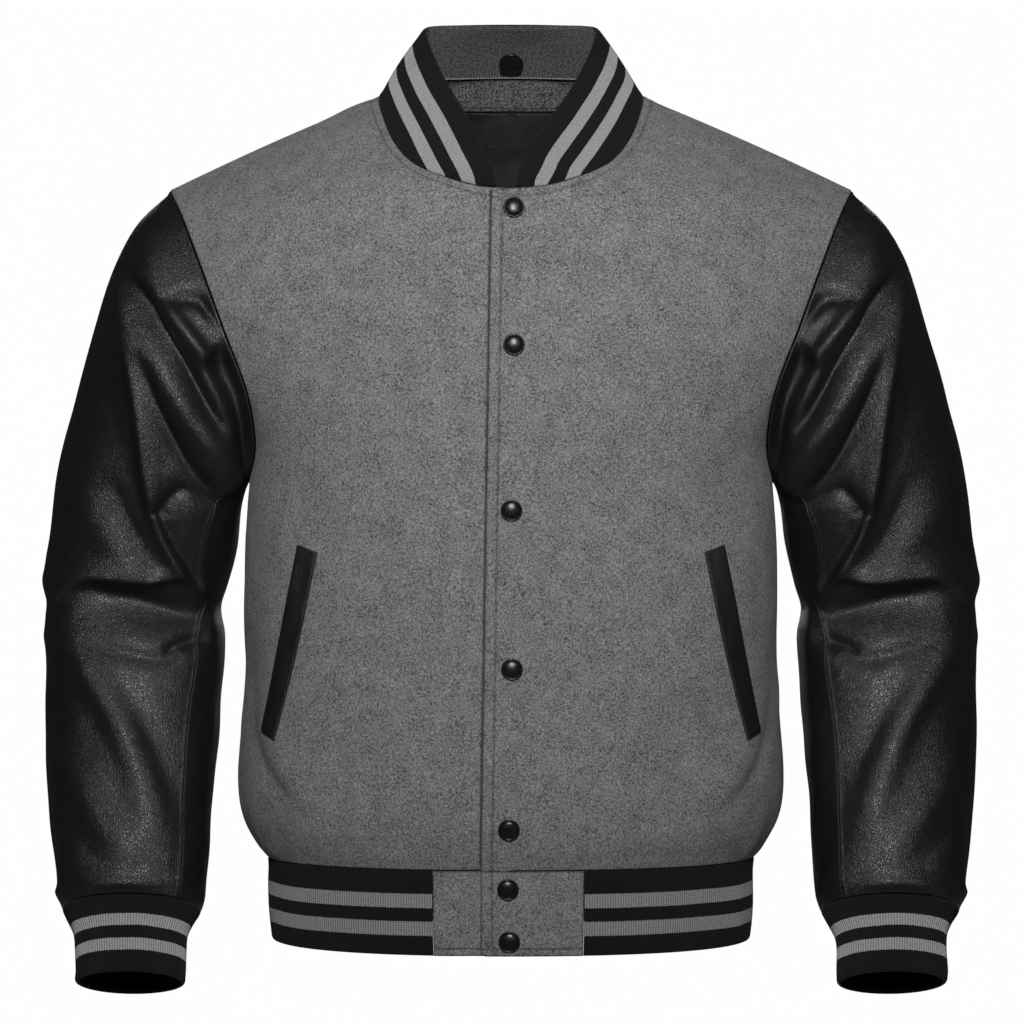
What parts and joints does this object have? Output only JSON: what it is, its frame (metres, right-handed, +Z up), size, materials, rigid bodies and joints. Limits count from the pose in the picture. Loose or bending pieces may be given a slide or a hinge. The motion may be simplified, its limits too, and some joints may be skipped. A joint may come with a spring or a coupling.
{
  "type": "varsity jacket",
  "caption": "Snap-front varsity jacket filled out and open inside: grey wool body, black leather sleeves, striped rib collar, cuffs and hem, leather pocket welts.",
  "frame": {"origin": "inside the neck, level with the base of the neck seam's upper third and midway between the shoulder seams: where the wearer's neck and shoulders hold the jacket", "axes": "+X to the wearer's left, -Y out of the front, +Z up the body's centre line"},
  "size_m": [0.751, 0.2627, 0.7767],
  "materials": {
    "wool": "heather grey melton wool, brushed, matt",
    "leather": "black sleeve leather, fine grain, semi-gloss",
    "rib": "black rib knit with two grey stripes",
    "rib_inner": "dark grey melange plain rib, matt",
    "facing": "grey wool facing, matt",
    "satin": "black lining satin, soft sheen",
    "label": "blank black woven label",
    "welt": "black leather welt, smooth, semi-gloss",
    "snap": "black gloss enamel over a pressed cap"
  },
  "bodies": {
    "root": {"back": "wool", "back_lining": "satin", "collar": "rib", "collar_inner": "rib_inner", "cuff_left": "rib", "cuff_right": "rib", "front_left": "wool", "front_right": "wool", "hem_rib": "rib", "hem_tab_left": "wool", "hem_tab_right": "wool", "hood_snap": "snap", "neck_facing": "facing", "neck_label": "label", "sleeve_left_top": "leather", "sleeve_left_under": "leather", "sleeve_right_top": "leather", "sleeve_right_under": "leather", "snap_1": "snap", "snap_2": "snap", "snap_3": "snap", "snap_4": "snap", "snap_5": "snap", "snap_6": "snap", "snap_7": "snap", "welt_left": "welt", "welt_right": "welt"}
  },
  "joints": []
}
